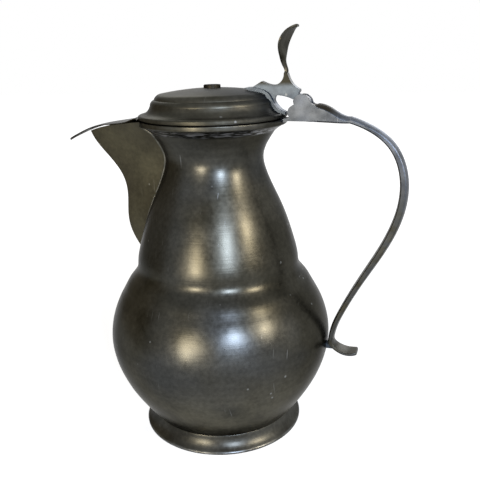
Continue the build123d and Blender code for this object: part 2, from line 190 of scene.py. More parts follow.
def speck_dots(tree, spot):
    """A round dot in the middle of some of the cells."""
    cells = add_node(tree, "ShaderNodeTexVoronoi", values={"Scale": 1 / (SPECK_MM * MM)},
                     links={"Vector": spot}).outputs
    dot = add_node(tree, "ShaderNodeMapRange",
                   values={"From Min": SPECK_EDGE[0], "From Max": SPECK_EDGE[1]},
                   links={"Value": cells["Distance"]}).outputs["Result"]
    lot = add_node(tree, "ShaderNodeSeparateColor", links={"Color": cells["Color"]}).outputs["Red"]
    chosen = add_node(tree, "ShaderNodeMath", {"operation": "GREATER_THAN"}, {1: BARE_CELLS},
                      {0: lot}).outputs[0]
    return add_node(tree, "ShaderNodeMath", TIMES, links={0: dot, 1: chosen}).outputs[0]


def worn_marks(tree, spot, scratches, specks):
    """Scratches and specks together, each with its own strength."""
    patterns = ((scratch_lines(tree, spot), scratches), (speck_dots(tree, spot), specks))
    marks = [add_node(tree, "ShaderNodeMath", TIMES, {1: strength}, {0: pattern}).outputs[0]
             for pattern, strength in patterns]
    return add_node(tree, "ShaderNodeMath", LARGER, links={0: marks[0], 1: marks[1]}).outputs[0]


print("share of cells with a speck:", round(1 - BARE_CELLS, 2))

# %% [markdown]
# ## Dents, lathe rings and the relief of the wear
# Hands and knocks leave soft dents in thin metal, and the lathe leaves fine rings. The dents that show
# in the outline are real, and come with the bowl below. The rest only bends the lights, so bump is
# enough: it tilts the normal and leaves the mesh alone. The three reliefs are laid one over the other,
# and the wear goes inwards.

# %% Relief of the skin
WEAR_DEPTH_MM, WEAR_STRENGTH = 0.03, 0.6


def skin_relief(tree, places, worn, dent_mm, dent_detail, dent_depth, ring_mm, ring_depth):
    """The normal of a skin with dents, lathe rings and worn marks."""
    dents = add_node(tree, "ShaderNodeTexNoise",
                     values={"Scale": 1 / (dent_mm * MM), "Detail": dent_detail, "Roughness": 0.35},
                     links={"Vector": places["spot"]}).outputs["Fac"]
    rings = add_node(tree, "ShaderNodeTexNoise", values={"Scale": 1 / (ring_mm * MM), "Detail": 2.0},
                     links={"Vector": places["ring_spot"]}).outputs["Fac"]
    below = {}
    for relief, depth_mm, strength, inwards in (
            (dents, dent_depth, 1.0, False), (rings, ring_depth, 1.0, False),
            (worn, WEAR_DEPTH_MM, WEAR_STRENGTH, True)):
        normal = add_node(tree, "ShaderNodeBump", {"invert": inwards},
                          {"Strength": strength, "Distance": depth_mm * MM},
                          {"Height": relief, **below}).outputs[0]
        below = {"Normal": normal}
    return normal


print("depth of the wear in mm:", WEAR_DEPTH_MM)

# %% [markdown]
# ## Tones and painted light that change with the place
# The skin isn't the same tone everywhere. It drifts between warm and cool, gets darker high on the
# bracket's stem, and the lathe's wider marks show as faint level streaks. Low on the bowl a paler tone
# is a painted reflection of the pale floor, and low on the strap a darker, browner tone is painted
# shade. Each of these could be a material of its own, but then the change between two of them would be a
# hard line. So they are layers of one
# material: a layer is a mask with the tone that it lays on, or a factor that makes the skin lighter.

# %% Drift, height and streak layers
DRIFT_MM, DRIFT_SEED, DRIFT_MOST = 45.0, 5.0, 0.7
WIDE_RING_MM = 2.6
STREAK_NOISE = (0.3, 0.7)


def cool_drift(tree, spot, tone):
    """A cooler tone that comes and goes over a few centimetres."""
    drift = add_node(tree, "ShaderNodeTexNoise", {"noise_dimensions": "4D"},
                     {"Scale": 1 / (DRIFT_MM * MM), "Detail": 2.0, "W": DRIFT_SEED},
                     {"Vector": spot}).outputs["Fac"]
    mask = add_node(tree, "ShaderNodeMapRange",
                    values={"From Min": 0.45, "From Max": 0.65, "To Max": DRIFT_MOST},
                    links={"Value": drift}).outputs["Result"]
    return mask, tone


def tone_by_height(tree, height, start_mm, full_mm, tone, blotch=None):
    """A tone that comes in between two heights, evenly or in blotches."""
    mask = add_node(tree, "ShaderNodeMapRange", SOFT,
                    {"From Min": start_mm * MM, "From Max": full_mm * MM},
                    {"Value": height}).outputs["Result"]
    if blotch is not None:
        patches = add_node(tree, "ShaderNodeMapRange", values={"From Min": 0.25, "From Max": 0.6},
                           links={"Value": blotch}).outputs["Result"]
        mask = add_node(tree, "ShaderNodeMath", TIMES, links={0: mask, 1: patches}).outputs[0]
    return mask, tone


def streak_factors(tree, grain, grain_tone, ring_spot, ring_tone):
    """Factors that make the skin lighter and darker with its grain and with the lathe's wide rings."""
    swings = [(grain, grain_tone)]
    if ring_tone:
        wide_rings = add_node(tree, "ShaderNodeTexNoise",
                              values={"Scale": 1 / (WIDE_RING_MM * MM), "Detail": 3.0},
                              links={"Vector": ring_spot}).outputs["Fac"]
        swings.append((wide_rings, ring_tone))
    return [(add_node(tree, "ShaderNodeMapRange",
                      values={"From Min": STREAK_NOISE[0], "From Max": STREAK_NOISE[1],
                              "To Min": 1 - swing, "To Max": 1 + swing},
                      links={"Value": noise}).outputs["Result"], None) for noise, swing in swings]


print("the tone drifts over", DRIFT_MM, "mm")

# %% [markdown]
# ## Bands of wear, residue and painted sheen
# On the rim band the skin is rubbed through in patches, the foot's lip is polished by the table, and
# a pale film of old polish has dried in the corner under the band. That pale film is also a painted
# reflection, which lightens the shade under the band. Faces of the mesh could be given a second
# material, but such marks fade at their edges. So a band is a soft mask between two distances from the
# axis and two heights, broken up by noise that is flattened until its patches lie level.

# %% Patchy bands
RUBBED = {"patch_mm": 7.0, "flatten": 5.0, "detail": 4.0, "start": 0.35, "full": 0.6,
          "edges_mm": (0.5, 0.5)}
# The pale film under the band is partly old polish and partly a painted reflection that lightens the
# shade there.
RESIDUE_AND_SHEEN = {"patch_mm": 6.0, "flatten": 9.0, "detail": 3.0, "start": 0.48, "full": 0.6,
           "edges_mm": (2.0, 1.0)}
RESIDUE_AND_SHEEN_TONE, RESIDUE_AND_SHEEN_STRENGTH, RESIDUE_AND_SHEEN_METALLIC = "85878a", 0.9, 0.55


def band_mask(tree, value, low_mm, high_mm, edge_mm):
    """1 where a value lies between two limits in millimetres, with a soft edge on both."""
    sides = [add_node(tree, "ShaderNodeMapRange", SOFT,
                      {"From Min": limit * MM - edge * MM, "From Max": limit * MM + edge * MM},
                      {"Value": value}).outputs["Result"]
             for limit, edge in ((low_mm, edge_mm), (high_mm, -edge_mm))]
    return add_node(tree, "ShaderNodeMath", TIMES, links={0: sides[0], 1: sides[1]}).outputs[0]


def patchy_band(tree, places, band, strength, patch_mm, flatten, detail, start, full, edges_mm):
    """Level patches in the band between two distances from the axis and two heights."""
    across = band_mask(tree, places["radius"], *band[:2], edges_mm[0])
    level = band_mask(tree, places["height"], *band[2:], edges_mm[1])
    both = add_node(tree, "ShaderNodeMath", TIMES, links={0: across, 1: level}).outputs[0]
    flat = add_node(tree, "ShaderNodeMapping", values={"Scale": (1.0, 1.0, flatten)},
                    links={"Vector": places["spot"]}).outputs[0]
    noise = add_node(tree, "ShaderNodeTexNoise",
                     values={"Scale": 1 / (patch_mm * MM), "Detail": detail, "Roughness": 0.6},
                     links={"Vector": flat}).outputs["Fac"]
    patches = add_node(tree, "ShaderNodeMapRange",
                       values={"From Min": start, "From Max": full, "To Max": strength},
                       links={"Value": noise}).outputs["Result"]
    return add_node(tree, "ShaderNodeMath", TIMES, links={0: both, 1: patches}).outputs[0]


print("residue covers at most", RESIDUE_AND_SHEEN_STRENGTH, "of the skin")

# %% [markdown]
# ## Painted light and shade on the strap
# The outer side of the handle's strap faces the lamps, and it is painted paler as painted light. Its
# inner side faces the dark body, and it is painted brown as painted shade. The strap could be cut in two
# materials, but it is one casting and the change is soft. A point is set in the middle of the grip, seen
# from the side, and the normal is compared with the way from that point: it says if the skin looks out
# of the grip or into it.

# %% Painted light and shade on the strap
STRAP_FADE_MM = 10
FACES_OUT, FACES_IN = (0.15, 0.7), (-0.1, -0.6)


def painted_strap_light(tree, places, middle_x, middle_z, start_x, gain, brown):
    """Two layers of painted light: the outside of the strap made lighter, and a brown painted shade on
    its inside, with the same brown on the cheeks.
    """
    middle = add_node(tree, "ShaderNodeCombineXYZ",
                      values={"X": middle_x * MM, "Z": middle_z * MM}).outputs[0]
    side_view = add_node(tree, "ShaderNodeCombineXYZ",
                         links={"X": places["x"], "Z": places["height"]}).outputs[0]
    reach = add_node(tree, "ShaderNodeVectorMath", MINUS, links={0: side_view, 1: middle}).outputs[0]
    away = add_node(tree, "ShaderNodeVectorMath", UNIT, links={0: reach}).outputs[0]
    facing = add_node(tree, "ShaderNodeTexCoord").outputs["Normal"]
    outwards = add_node(tree, "ShaderNodeVectorMath", {"operation": "DOT_PRODUCT"},
                        links={0: facing, 1: away}).outputs["Value"]
    strap_start = (start_x * MM, (start_x + STRAP_FADE_MM) * MM)
    on_strap, outer, inner = (
        add_node(tree, "ShaderNodeMapRange", SOFT, {"From Min": start, "From Max": full},
                 {"Value": value}).outputs["Result"]
        for value, (start, full) in (
            (places["x"], strap_start), (outwards, FACES_OUT), (outwards, FACES_IN)))
    # Painted light: the outer side of the strap is made lighter.
    painted_lit_outer = add_node(tree, "ShaderNodeMath", TIMES, links={0: outer, 1: on_strap}).outputs[0]
    lighter = add_node(tree, "ShaderNodeMapRange", values={"To Min": 1.0, "To Max": gain},
                       links={"Value": painted_lit_outer}).outputs["Result"]
    # Painted shade: the inner side turns brown, and so do the outward faces at the cheeks.
    outer_off_strap = add_node(tree, "ShaderNodeMath", MINUS, links={0: outer, 1: painted_lit_outer}).outputs[0]
    browner = add_node(tree, "ShaderNodeMath", LARGER, links={0: inner, 1: outer_off_strap}).outputs[0]
    return [(lighter, None), (browner, brown)]


# The painted light on the strap's outer side fades in over this length.
print("the polish fades in over", STRAP_FADE_MM, "mm")

# %% [markdown]
# ## One function for every pewter finish
# All pieces are the same alloy, and only their making, their wear and the light and shade painted on
# some of them differ. So one function stacks the layers: the skin, its tones with the painted light and
# shade, its streaks, then what was rubbed off, what dried on with its painted sheen, and last the
# scratches. A piece that lacks a layer leaves it out.
# The default metal turns white at a grazing angle, and a tarnished skin doesn't, so the specular tint,
# which is the metal's colour there, is grey.


# %% The pewter material
def lay_tones(tree, skin, layers):
    """Lays tones on the skin by their masks, and multiplies it by a factor that comes without a tone."""
    for mask, tone in layers:
        if tone:
            skin = add_node(tree, "ShaderNodeMix", COLOURS, {"B": linear(tone)},
                            {"Factor": mask, "A": skin}).outputs["Result"]
        else:
            skin = add_node(tree, "ShaderNodeVectorMath", {"operation": "SCALE"},
                            links={0: skin, "Scale": mask}).outputs[0]
    return skin


def pewter(name, dark, light, bare, roughness, tint="c0c0c0", blotch_mm=26.0, grain_tone=0.14,
           dent_mm=34.0, dent_detail=3.0, dent_depth=0.5, ring_mm=0.9, ring_depth=0.02, ring_tone=0.0,
           scratches=0.35, specks=0.5, cool=None, strap=None, brown_above=None, painted_low_light=None,
           rubbed=None, residue_and_sheen=None):
    """Pewter with a skin of two tones, bare metal where it's worn, the marks of its making, and painted
    light and shade where a piece is given them.
    """
    material = bpy.data.materials.new(name)
    tree = empty_tree(material)
    places = jug_places(tree)
    spot, height = places["spot"], places["height"]
    blotch, grain, lighter = skin_clouds(tree, spot, blotch_mm)
    worn = worn_marks(tree, spot, scratches, specks)

    layers = [cool_drift(tree, spot, cool)] if cool else []
    # Painted light and shade on the strap's outer and inner sides.
    if strap:
        layers += painted_strap_light(tree, places, *strap)
    if brown_above:
        layers.append(tone_by_height(tree, height, *brown_above))
    # Painted light by height: a painted reflection of the floor low on the bowl, and painted shade low
    # on the strap.
    if painted_low_light:
        layers.append(tone_by_height(tree, height, *painted_low_light, blotch))
    layers += streak_factors(tree, grain, grain_tone, places["ring_spot"], ring_tone)
    if rubbed:
        *band, strength = rubbed
        layers.append((patchy_band(tree, places, band, strength, **RUBBED), bare))
    metallic = {}
    # A paler, less metallic film under the band: partly old polish, partly a painted reflection.
    if residue_and_sheen:
        residue_and_sheen_film = patchy_band(tree, places, residue_and_sheen, RESIDUE_AND_SHEEN_STRENGTH, **RESIDUE_AND_SHEEN)
        layers.append((residue_and_sheen_film, RESIDUE_AND_SHEEN_TONE))
        metallic["Metallic"] = add_node(tree, "ShaderNodeMapRange",
                                        values={"To Min": 1.0, "To Max": RESIDUE_AND_SHEEN_METALLIC},
                                        links={"Value": residue_and_sheen_film}).outputs["Result"]
    layers.append((worn, bare))

    skin = add_node(tree, "ShaderNodeMix", COLOURS, {"A": linear(dark), "B": linear(light)},
                    {"Factor": lighter}).outputs["Result"]
    shader = add_node(tree, "ShaderNodeBsdfPrincipled",
                      values={"Metallic": 1.0, "Specular Tint": linear(tint)},
                      links={"Base Color": lay_tones(tree, skin, layers),
                             "Roughness": skin_roughness(tree, blotch, grain, *roughness),
                             "Normal": skin_relief(tree, places, worn, dent_mm, dent_detail, dent_depth,
                                                   ring_mm, ring_depth), **metallic})
    add_node(tree, "ShaderNodeOutputMaterial", links={"Surface": shader.outputs[0]})
    print(name, "has", len(tree.nodes), "nodes and", len(layers), "layers")
    return material


# %% [markdown]
# ## The turned finishes
# Body, lid and foot were finished on the lathe, so they have rings, and their smooth skin keeps the
# lights sharp. It is olive where it is thick and bluer where it is thin. They could share one material,
# but the lid has coarser rings, which break its lights into level streaks, and the foot is scuffed.
# Heights and distances from the axis are in millimetres.

# %% Turned pewter
# Low on the bowl the paler tone is a painted reflection of the pale floor.
turned_pewter = pewter(
    "worn_turned_pewter", "2f2e28", "3f3e38", "8f9294", (0.27, 0.37), cool="3c3e3f",
    painted_low_light=(66.0, 18.0, "58564c"),  # the lower half of the bowl is paler
    # Under the band the pale film is partly old polish and partly a painted reflection.
    residue_and_sheen=(33.5, 43.0, 183.0, 186.2), rubbed=(42.2, 44.0, 188.0, 194.5, 0.16), ring_tone=0.07)
lid_pewter = pewter(
    "turned_lid_pewter", "2f2e28", "3f3e38", "8f9294", (0.35, 0.45), cool="3c3e3f",
    ring_depth=0.045, ring_mm=1.1, ring_tone=0.1, scratches=0.2, specks=0.4)
foot_pewter = pewter(
    "scuffed_foot_pewter", "2e2d29", "43433f", "8f9294", (0.3, 0.4), ring_depth=0.03, ring_tone=0.07,
    scratches=0.4, specks=0.7, rubbed=(48.6, 52.0, 0.1, 1.7, 0.35))

# %% [markdown]
# ## The cast, bent and soldered finishes
# The other pieces were never turned, so they have no rings. Castings are lumpier and duller than
# turned metal, and hands keep their skin thin, which makes it bluer and paler. The spout was bent from
# sheet, and its skin is brown and dull. Solder sets pale. The castings could each have all their sizes
# written out, but they come from the same kind of mould, so they share one list.

# %% Cast, bent and soldered pewter
CASTING = {"blotch_mm": 9.0, "ring_depth": 0.0, "dent_mm": 13.0, "dent_detail": 1.0, "dent_depth": 1.1,
           "tint": "f4f4f4"}
PLAIN = {"ring_depth": 0.0, "scratches": 0.0, "specks": 0.0}
cast_pewter = pewter(
    "handled_cast_pewter", "32373f", "485059", "b4b8bc", (0.4, 0.47), **CASTING, grain_tone=0.05,
    scratches=0.1, specks=0.1, brown_above=(206.3, 209.5, "22221e"))  # the bracket's stem is dark
# The strap's outer side gets painted light and its inner side a brown painted shade. Low down it gets a
# darker painted shade.
strap_pewter = pewter(
    "strap_pewter_painted_light", "363a40", "4e535b", "b4b8bc", (0.4, 0.47), **CASTING, grain_tone=0.07,
    scratches=0.1, specks=0.1, strap=(55.0, 140.0, 66.0, 1.6, "2c2a24"),
    painted_low_light=(178.0, 128.0, "37362f"))  # the strap gets browner further down
# The pin's ends were filed flush with the cheeks, so they share the strap's colours.
filed_pin = pewter("filed_pin_metal", "363a40", "4e535b", "b8bcc0", (0.4, 0.47), **{**CASTING, **PLAIN})
# The leaf under the thumb is browner, where sweat has fed the skin. Nobody polishes the button.
thumb_pewter = pewter("thumbed_cast_pewter", "31302a", "4a4942", "9c9d9a", (0.38, 0.46), **PLAIN,
                      blotch_mm=7.0, grain_tone=0.08, dent_mm=12.0, dent_depth=0.3, tint="acacac")
button_pewter = pewter("dull_button_pewter", "24221d", "34322b", "6c6a62", (0.45, 0.55), **PLAIN,
                       blotch_mm=5.0, dent_depth=0.1, tint="808080")
sheet_pewter = pewter("brown_sheet_pewter", "37342a", "494638", "8f8c82", (0.4, 0.52), ring_depth=0.0,
                      tint="d8d8d8", dent_mm=20.0, dent_depth=0.4)
solder = pewter("pale_solder", "4a4a45", "605f58", "a3a39e", (0.4, 0.5), blotch_mm=5.0, ring_depth=0.0,
                dent_depth=0.1, scratches=0.0, specks=0.3)

# %% [markdown]
# ## Which piece gets which finish
# The CAD pieces come in with a plain material each. A finish could be chosen piece by piece in the
# viewport, but it would be lost when the CAD model is made again. A table from piece to finish isn't.

# %% Give each CAD piece its finish
finish_of_node = {
    "foot_ring": foot_pewter, "base_disc": turned_pewter, "bowl": turned_pewter, "neck": turned_pewter,
    "rim_band": turned_pewter, "lid": lid_pewter, "lid_button": button_pewter,
    "spout": sheet_pewter, "spout_cover": turned_pewter,
    "lid_bracket": cast_pewter, "thumbpiece": thumb_pewter, "handle": strap_pewter,
    "handle_lug": cast_pewter, "hinge_pin": filed_pin,
}
for node_name, finish in finish_of_node.items():
    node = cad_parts[node_name]
    if not node.material_slots:
        node.data.materials.append(finish)
    for slot in node.material_slots:
        slot.material = finish
print("finished nodes:", len(finish_of_node))

# %% [markdown]
# ## The turned bowl: its outline
# The bowl is a shell of turned pewter. On the real jug the solder of the waist was skimmed on the lathe,
# so the bowl flows up into the neck in one soft hollow, with a faint rounded bead below it.
# A turned shape follows one rule: a profile goes round an axis. So Geometry Nodes make it below.
# The profile could be drawn again by hand. Here it is read from the CAD bowl's own mesh, where that
# crosses the plane through the handle, so the two agree wherever the form doesn't change.

# %% Read a turned profile
TOUCHING = 1e-6


def profile_of(node_name):
    """The closed outline of a turned CAD node in the half plane y = 0, x > 0, as (r, z) in order."""
    mesh = bmesh.new()
    mesh.from_mesh(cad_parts[node_name].data)
    bmesh.ops.remove_doubles(mesh, verts=mesh.verts, dist=TOUCHING)
    on_plane = {v for v in mesh.verts if abs(v.co.y) < TOUCHING and v.co.x > 0}
    here = min(on_plane, key=lambda v: (round(v.co.z, 6), v.co.x))
    chain = []
    while here is not None:
        chain.append(here)
        nearby = [e.other_vert(here) for e in here.link_edges]
        here = next((v for v in nearby if v in on_plane and v not in chain), None)
    outline = [(v.co.x, v.co.z) for v in chain]
    mesh.free()
    return outline


bowl_outline = profile_of("bowl")
print("points in the bowl's outline:", len(bowl_outline))

# %% [markdown]
# ## The turned bowl: its shoulder
# Only the shoulder is redrawn, from below the bead up into the neck. The new points are one or two
# millimetres apart, and a lathe leaves no flats between them. A Subdivision Surface modifier would
# round the corners as well, so a Catmull-Rom curve goes through the points instead: it bends between
# soft ones and keeps a corner wherever the outline turns sharply.

# %% Smooth an outline
CORNER_DEGREES = 18.0
FINEST_STEP = 0.9 * MM
CURVE_STEPS = 6


def smooth_run(points):
    """Adds points between the given ones on a Catmull-Rom curve, and keeps the corners sharp."""
    count, out = len(points), []
    spots = [Vector((r, z)) for r, z in points]

    def is_corner(i):
        before, after = spots[i] - spots[i - 1], spots[(i + 1) % count] - spots[i]
        return before.angle(after, 0.0) > math.radians(CORNER_DEGREES)

    corners = [is_corner(i) for i in range(count)]
    for i in range(count):
        a, b = spots[i], spots[(i + 1) % count]
        chord = b - a
        tangent_a = chord if corners[i] else (b - spots[i - 1]) * 0.5
        tangent_b = chord if corners[(i + 1) % count] else (spots[(i + 2) % count] - a) * 0.5
        pieces = max(1, min(CURVE_STEPS, round(chord.length / FINEST_STEP)))
        scale_a = chord.length / max(tangent_a.length, 1e-9)
        scale_b = chord.length / max(tangent_b.length, 1e-9)
        for k in range(pieces):
            t = k / pieces
            spot = ((2 * t**3 - 3 * t**2 + 1) * a + (t**3 - 2 * t**2 + t) * tangent_a * scale_a
                    + (3 * t**2 - 2 * t**3) * b + (t**3 - t**2) * tangent_b * scale_b)
            out.append((spot.x, spot.y))
    return out


print("most steps between two points:", CURVE_STEPS)

# %% Redraw the shoulder
# Radius and height in millimetres: up the shoulder and the hollow, into the neck's wall, and down again.
SOFT_WAIST = [
    (58.47, 88.45), (57.3, 90.45), (56.16, 92.45), (54.91, 94.45), (53.35, 96.45), (51.71, 98.4),
    (50.5, 100.0), (49.88, 101.0), (49.39, 102.0), (49.02, 103.0), (48.75, 104.0), (48.57, 105.0),
    (48.43, 106.8), (48.23, 108.2), (47.92, 109.6), (47.45, 111.0), (46.8, 110.2), (46.6, 99.0),
]
SHOULDER_START = (59.68 * MM, 86.45 * MM)
SEAM_CORNER = (46.6 * MM, 97.2 * MM)


def nearest(outline, spot):
    """The place in an outline of the point that lies nearest to a spot."""
    return min(range(len(outline)), key=lambda i: math.dist(outline[i], spot))


first = nearest(bowl_outline, SHOULDER_START)
turned_round = bowl_outline[first:] + bowl_outline[:first]
seam_at = nearest(turned_round, SEAM_CORNER)
if seam_at > len(turned_round) / 2:
    turned_round = [turned_round[0]] + turned_round[:0:-1]
    seam_at = nearest(turned_round, SEAM_CORNER)
soft_outline = [turned_round[0]] + [(r * MM, z * MM) for r, z in SOFT_WAIST] + turned_round[seam_at:]
bowl_profile = smooth_run(soft_outline)
print("points in the soft outline:", len(bowl_profile))

# %% [markdown]
# ## The turning tree
# Blender could spin the profile with a Screw modifier, but the dents would need a second tool. This
# tree does both. A flat grid has one row for each point of the profile and one column for each step
# round the axis. Every vertex looks up its row's point, turns it by its column's angle and goes there,
# and the seam is merged. Small seeded dents then press the shell inwards, never outwards, and fade out
# below the waist.

# %% Start and end a tree
FLOAT, WHOLE, METAL, SHAPE = ("NodeSocket" + kind for kind in ("Float", "Int", "Material", "Geometry"))


def new_tree(name, sockets, result):
    """An empty Geometry Nodes tree with named inputs and one shape as its result."""
    tree = bpy.data.node_groups.new(name, "GeometryNodeTree")
    for socket_name, kind in sockets.items():
        tree.interface.new_socket(name=socket_name, in_out="INPUT", socket_type=kind)
    tree.interface.new_socket(name=result, in_out="OUTPUT", socket_type=SHAPE)
    return tree, add_node(tree, "NodeGroupInput").outputs


def end_tree(tree, shape, metal, result):
    """Ends a tree: the shape is shaded smooth, made real and given its metal."""
    smooth = add_node(tree, "GeometryNodeSetShadeSmooth", links={0: shape}).outputs[0]
    real = add_node(tree, "GeometryNodeRealizeInstances", links={"Geometry": smooth}).outputs[0]
    done = add_node(tree, "GeometryNodeSetMaterial",
                    links={"Geometry": real, "Material": metal}).outputs[0]
    add_node(tree, "NodeGroupOutput", links={result: done})


shell_tree, shell_inputs = new_tree("turned_shell", {
    "Profile": SHAPE, "Segments": WHOLE, "Dent Depth": FLOAT, "Dent Size": FLOAT, "Dent Top": FLOAT,
    "Seed": FLOAT, "Metal": METAL}, "Shell")
print("inputs:", [socket.name for socket in shell_inputs if socket.name])


# %% Wrap a grid round the axis
def wrapped_grid(tree, given):
    """A grid whose rows follow the profile and whose columns go once round Z, closed at the seam."""
    count = add_node(tree, "GeometryNodeAttributeDomainSize", {"component": "MESH"},
                     links={"Geometry": given["Profile"]}).outputs["Point Count"]
    rows, columns = (
        add_node(tree, "ShaderNodeMath", {"operation": "ADD"}, {1: 1.0}, {0: number}).outputs[0]
        for number in (count, given["Segments"]))
    grid = add_node(tree, "GeometryNodeMeshGrid", links={"Vertices X": rows, "Vertices Y": columns})
    index = add_node(tree, "GeometryNodeInputIndex").outputs[0]
    share = add_node(tree, "ShaderNodeMath", DIVIDED, links={0: index, 1: columns}).outputs[0]
    row = add_node(tree, "ShaderNodeMath", {"operation": "FLOOR"}, links={0: share}).outputs[0]
    row_start = add_node(tree, "ShaderNodeMath", TIMES, links={0: row, 1: columns}).outputs[0]
    column = add_node(tree, "ShaderNodeMath", MINUS, links={0: index, 1: row_start}).outputs[0]
    row_round = add_node(tree, "ShaderNodeMath", {"operation": "MODULO"},
                         links={0: row, 1: count}).outputs[0]
    spot = add_node(tree, "GeometryNodeSampleIndex", {"data_type": "FLOAT_VECTOR", "domain": "POINT"},
                    links={"Geometry": given["Profile"], "Index": row_round,
                           "Value": add_node(tree, "GeometryNodeInputPosition").outputs[0]})
    part = add_node(tree, "ShaderNodeMath", DIVIDED, links={0: column, 1: given["Segments"]}).outputs[0]
    angle = add_node(tree, "ShaderNodeMath", TIMES, {1: 2 * math.pi}, {0: part}).outputs[0]
    turned = add_node(tree, "ShaderNodeVectorRotate", {"rotation_type": "Z_AXIS"},
                      links={"Vector": spot.outputs["Value"], "Angle": angle}).outputs[0]
    shell = add_node(tree, "GeometryNodeSetPosition",
                     links={"Geometry": grid.outputs["Mesh"], "Position": turned}).outputs[0]
    return add_node(tree, "GeometryNodeMergeByDistance", values={"Distance": TOUCHING},
                    links={"Geometry": shell}).outputs[0]


closed_shell = wrapped_grid(shell_tree, shell_inputs)
print("nodes that wrap the grid:", len(shell_tree.nodes))

# %% Press dents into the shell
DENT_FADE = 14 * MM
DENT_EDGE = (0.45, 0.75)


def pressed_dents(tree, shell, given):
    """Soft dents from 4D noise, towards the axis and only below the Dent Top."""
    scale = add_node(tree, "ShaderNodeMath", DIVIDED, {0: 1.0}, {1: given["Dent Size"]}).outputs[0]
    noise = add_node(tree, "ShaderNodeTexNoise", {"noise_dimensions": "4D"}, {"Detail": 1.0},
                     {"Scale": scale, "W": given["Seed"]}).outputs[0]
    depth = add_node(tree, "ShaderNodeMapRange", SOFT,
                     {"From Min": DENT_EDGE[0], "From Max": DENT_EDGE[1]},
                     {"Value": noise, "To Max": given["Dent Depth"]}).outputs["Result"]
    here = add_node(tree, "GeometryNodeInputPosition").outputs[0]
    height = add_node(tree, "ShaderNodeSeparateXYZ", links={0: here}).outputs["Z"]
    fade_end = add_node(tree, "ShaderNodeMath", MINUS, {1: DENT_FADE}, {0: given["Dent Top"]}).outputs[0]
    below = add_node(tree, "ShaderNodeMapRange", SOFT, links={
        "Value": height, "From Min": given["Dent Top"], "From Max": fade_end}).outputs["Result"]
    depth_here = add_node(tree, "ShaderNodeMath", TIMES, links={0: depth, 1: below}).outputs[0]
    flat = add_node(tree, "ShaderNodeVectorMath", TIMES, {1: (-1.0, -1.0, 0.0)}, {0: here}).outputs[0]
    inwards = add_node(tree, "ShaderNodeVectorMath", UNIT, links={0: flat}).outputs[0]
    press = add_node(tree, "ShaderNodeVectorMath", {"operation": "SCALE"},
                     links={0: inwards, "Scale": depth_here}).outputs[0]
    return add_node(tree, "GeometryNodeSetPosition",
                    links={"Geometry": shell, "Offset": press}).outputs[0]


dented_shell = pressed_dents(shell_tree, closed_shell, shell_inputs)
end_tree(shell_tree, dented_shell, shell_inputs["Metal"], "Shell")
print("nodes in the whole tree:", len(shell_tree.nodes))

# %% [markdown]
# ## From a tree to a piece
# A Geometry Nodes tree runs as a modifier, and the exported model holds only plain meshes. It could be
# applied by hand. This function does the same: it feeds the tree its points and its sizes, takes the
# result as a plain mesh, points the faces outwards, and lets the piece ride on its body.


# %% Run a tree
def run_tree(tree, name, points, edges, inputs, body):
    """Runs a tree on points and edges, and keeps the result as a plain mesh that rides on a body."""
    source_mesh = bpy.data.meshes.new(name + "_source")
    source_mesh.from_pydata(points, edges, [])
    source = bpy.data.objects.new(name + "_source", source_mesh)
    bpy.context.scene.collection.objects.link(source)
    modifier = source.modifiers.new(name, "NODES")
    modifier.node_group = tree
    for item in tree.interface.items_tree:
        if item.item_type == "SOCKET" and item.in_out == "INPUT" and item.name in inputs:
            modifier[item.identifier] = inputs[item.name]
    depsgraph = bpy.context.evaluated_depsgraph_get()
    mesh = bpy.data.meshes.new_from_object(source.evaluated_get(depsgraph), depsgraph=depsgraph)
    source.modifiers.clear()
    bpy.data.objects.remove(source)
    shaped = bmesh.new()
    shaped.from_mesh(mesh)
    if shaped.calc_volume(signed=True) < 0:
        bmesh.ops.reverse_faces(shaped, faces=shaped.faces)
    shaped.to_mesh(mesh)
    shaped.free()
    mesh.name = name
    piece = bpy.data.objects.new(name, mesh)
    bpy.context.scene.collection.objects.link(piece)
    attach(piece, body)
    print(name, "has", len(mesh.polygons), "faces")
    return piece


# %% [markdown]
# ## Turning the bowl
# The tree now gets the bowl's outline and its sizes. With 256 steps round the axis no flat shows in the
# outline, and dents of a quarter of a millimetre bend the lights without making the bowl look battered.
# The new shell could be laid over the CAD bowl, but the two skins would cut through each other, so it
# takes its place.

# %% Turn the bowl
SHELL_SIZES = {"Segments": 256, "Dent Size": 30 * MM, "Dent Top": 96 * MM, "Seed": 3.0}
BOWL_DENTS = 0.25 * MM
turned_bowl = run_tree(
    shell_tree, "turned_bowl", [(r, 0.0, z) for r, z in bowl_profile], [],
    {**SHELL_SIZES, "Dent Depth": BOWL_DENTS, "Metal": turned_pewter}, "jug_body")
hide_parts("bowl")
bowl_low, bowl_high = turned_bowl.bound_box[0], turned_bowl.bound_box[6]
print("bowl box in mm:", [round(v / MM, 2) for v in bowl_low], [round(v / MM, 2) for v in bowl_high])

# %% [markdown]
# ## The turned foot
# The real foot flares outwards in a shallow hollow from the bowl to a thin lip on the table, so its
# lights stand upright on it. It could be modelled by hand, but it follows the same rule as the bowl, so
# the same tree turns it, from a profile that starts inside the bowl's wall and ends under the foot.
# It has no dents, because it is thick.

